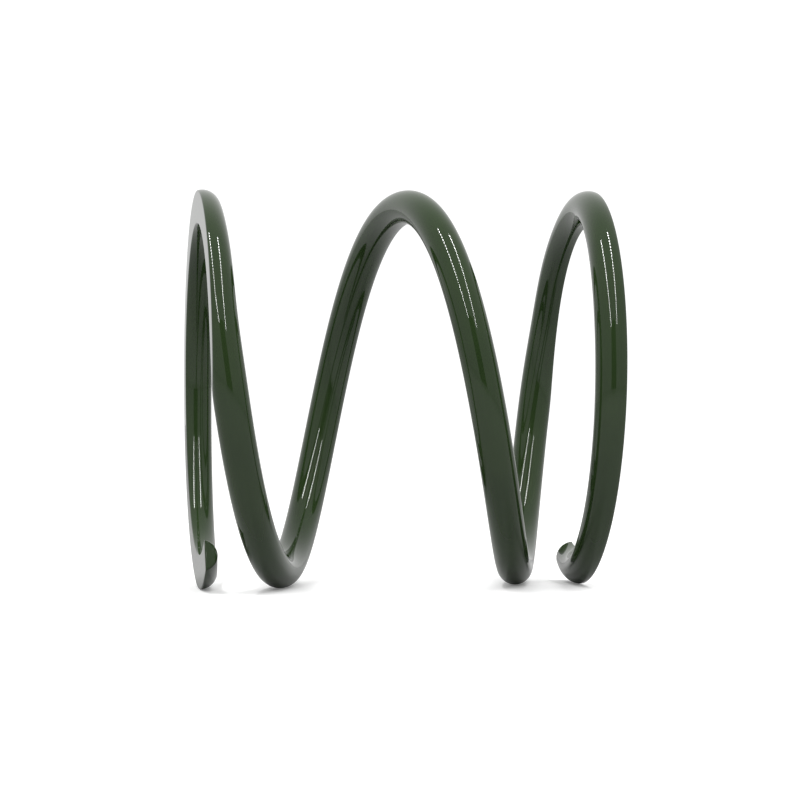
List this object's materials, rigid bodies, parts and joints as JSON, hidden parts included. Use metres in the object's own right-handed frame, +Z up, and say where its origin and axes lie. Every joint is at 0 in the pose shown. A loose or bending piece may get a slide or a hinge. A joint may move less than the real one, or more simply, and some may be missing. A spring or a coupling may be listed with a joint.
{
  "type": "coil spring",
  "caption": "Helical compression spring of round wire, few wide turns, closed ends ground flat, dark green gloss enamel.",
  "frame": {"origin": "below the middle of the spring, on the surface that it lies on, halfway between the ends' furthest points", "axes": "+X along the coil's axis from the left ground face to the right one, +Z up with the spring lying on its side"},
  "size_m": [0.0606, 0.06, 0.0599],
  "materials": {
    "green_enamel": "gloss enamel over spring steel, smooth, ground faces painted too"
  },
  "bodies": {
    "left_end_coil": {"left_end_coil": "green_enamel"},
    "wire_01": {"wire_01": "green_enamel"},
    "wire_02": {"wire_02": "green_enamel"},
    "wire_03": {"wire_03": "green_enamel"},
    "wire_04": {"wire_04": "green_enamel"},
    "wire_05": {"wire_05": "green_enamel"},
    "wire_06": {"wire_06": "green_enamel"},
    "wire_07": {"wire_07": "green_enamel"},
    "wire_08": {"wire_08": "green_enamel"},
    "wire_09": {"wire_09": "green_enamel"},
    "wire_10": {"wire_10": "green_enamel"},
    "wire_11": {"wire_11": "green_enamel"},
    "wire_12": {"wire_12": "green_enamel"},
    "wire_13": {"wire_13": "green_enamel"},
    "wire_14": {"wire_14": "green_enamel"},
    "wire_15": {"wire_15": "green_enamel"},
    "wire_16": {"wire_16": "green_enamel"},
    "wire_17": {"wire_17": "green_enamel"},
    "wire_18": {"wire_18": "green_enamel"},
    "wire_19": {"wire_19": "green_enamel"},
    "wire_20": {"wire_20": "green_enamel"},
    "right_end_coil": {"right_end_coil": "green_enamel"}
  },
  "joints": [
    {"name": "press", "type": "slide", "parent": "left_end_coil", "child": "right_end_coil", "axis": [-1, 0, 0], "range_m": [0, 0.0265], "stiffness_N_per_m": 31500},
    {"name": "give_01", "type": "slide", "parent": "left_end_coil", "child": "wire_01", "axis": [-1, 0, 0], "range_m": [0, 0.00019]},
    {"name": "give_02", "type": "slide", "parent": "left_end_coil", "child": "wire_02", "axis": [-1, 0, 0], "range_m": [0, 0.00141]},
    {"name": "give_03", "type": "slide", "parent": "left_end_coil", "child": "wire_03", "axis": [-1, 0, 0], "range_m": [0, 0.00281]},
    {"name": "give_04", "type": "slide", "parent": "left_end_coil", "child": "wire_04", "axis": [-1, 0, 0], "range_m": [0, 0.0042]},
    {"name": "give_05", "type": "slide", "parent": "left_end_coil", "child": "wire_05", "axis": [-1, 0, 0], "range_m": [0, 0.0056]},
    {"name": "give_06", "type": "slide", "parent": "left_end_coil", "child": "wire_06", "axis": [-1, 0, 0], "range_m": [0, 0.00699]},
    {"name": "give_07", "type": "slide", "parent": "left_end_coil", "child": "wire_07", "axis": [-1, 0, 0], "range_m": [0, 0.00839]},
    {"name": "give_08", "type": "slide", "parent": "left_end_coil", "child": "wire_08", "axis": [-1, 0, 0], "range_m": [0, 0.00978]},
    {"name": "give_09", "type": "slide", "parent": "left_end_coil", "child": "wire_09", "axis": [-1, 0, 0], "range_m": [0, 0.01118]},
    {"name": "give_10", "type": "slide", "parent": "left_end_coil", "child": "wire_10", "axis": [-1, 0, 0], "range_m": [0, 0.01257]},
    {"name": "give_11", "type": "slide", "parent": "right_end_coil", "child": "wire_11", "axis": [1, 0, 0], "range_m": [0, 0.01257]},
    {"name": "give_12", "type": "slide", "parent": "right_end_coil", "child": "wire_12", "axis": [1, 0, 0], "range_m": [0, 0.01118]},
    {"name": "give_13", "type": "slide", "parent": "right_end_coil", "child": "wire_13", "axis": [1, 0, 0], "range_m": [0, 0.00978]},
    {"name": "give_14", "type": "slide", "parent": "right_end_coil", "child": "wire_14", "axis": [1, 0, 0], "range_m": [0, 0.00839]},
    {"name": "give_15", "type": "slide", "parent": "right_end_coil", "child": "wire_15", "axis": [1, 0, 0], "range_m": [0, 0.00699]},
    {"name": "give_16", "type": "slide", "parent": "right_end_coil", "child": "wire_16", "axis": [1, 0, 0], "range_m": [0, 0.0056]},
    {"name": "give_17", "type": "slide", "parent": "right_end_coil", "child": "wire_17", "axis": [1, 0, 0], "range_m": [0, 0.0042]},
    {"name": "give_18", "type": "slide", "parent": "right_end_coil", "child": "wire_18", "axis": [1, 0, 0], "range_m": [0, 0.00281]},
    {"name": "give_19", "type": "slide", "parent": "right_end_coil", "child": "wire_19", "axis": [1, 0, 0], "range_m": [0, 0.00141]},
    {"name": "give_20", "type": "slide", "parent": "right_end_coil", "child": "wire_20", "axis": [1, 0, 0], "range_m": [0, 0.00019]}
  ],
  "couplings": [
    {"joint": "give_01", "follows": "press", "ratio": 0.006579},
    {"joint": "give_02", "follows": "press", "ratio": 0.052632},
    {"joint": "give_03", "follows": "press", "ratio": 0.10526},
    {"joint": "give_04", "follows": "press", "ratio": 0.1579},
    {"joint": "give_05", "follows": "press", "ratio": 0.21053},
    {"joint": "give_06", "follows": "press", "ratio": 0.26316},
    {"joint": "give_07", "follows": "press", "ratio": 0.31579},
    {"joint": "give_08", "follows": "press", "ratio": 0.36842},
    {"joint": "give_09", "follows": "press", "ratio": 0.42105},
    {"joint": "give_10", "follows": "press", "ratio": 0.47368},
    {"joint": "give_11", "follows": "press", "ratio": 0.47368},
    {"joint": "give_12", "follows": "press", "ratio": 0.42105},
    {"joint": "give_13", "follows": "press", "ratio": 0.36842},
    {"joint": "give_14", "follows": "press", "ratio": 0.31579},
    {"joint": "give_15", "follows": "press", "ratio": 0.26316},
    {"joint": "give_16", "follows": "press", "ratio": 0.21053},
    {"joint": "give_17", "follows": "press", "ratio": 0.1579},
    {"joint": "give_18", "follows": "press", "ratio": 0.10526},
    {"joint": "give_19", "follows": "press", "ratio": 0.052632},
    {"joint": "give_20", "follows": "press", "ratio": 0.006579}
  ]
}
